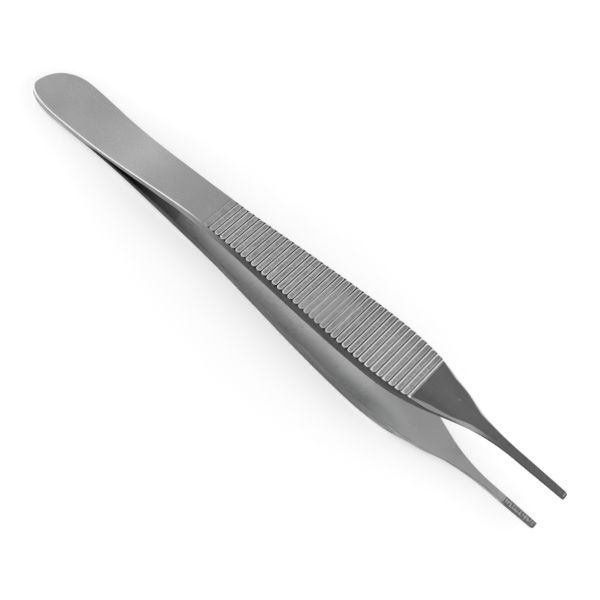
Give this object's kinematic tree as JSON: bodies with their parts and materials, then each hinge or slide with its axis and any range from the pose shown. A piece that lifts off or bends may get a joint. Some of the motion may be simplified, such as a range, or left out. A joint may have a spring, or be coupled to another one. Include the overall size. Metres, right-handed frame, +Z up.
{
  "type": "thumb forceps",
  "caption": "Slim sprung tweezers of welded steel arms, with cross-ridged finger grips and fine serrated jaws, for holding tissue or dressings.",
  "frame": {"origin": "on the surface the forceps lie on, under the centre of their bounding box", "axes": "+X from the heel to the jaw tips, +Y across the arms, +Z up; the forceps lie on the ridges of the lower arm, with the jaws just clear of the surface"},
  "size_m": [0.1202, 0.011, 0.018],
  "materials": {
    "steel": "satin"
  },
  "bodies": {
    "root": {"upper_arm": "steel", "lower_arm": "steel"}
  },
  "joints": []
}
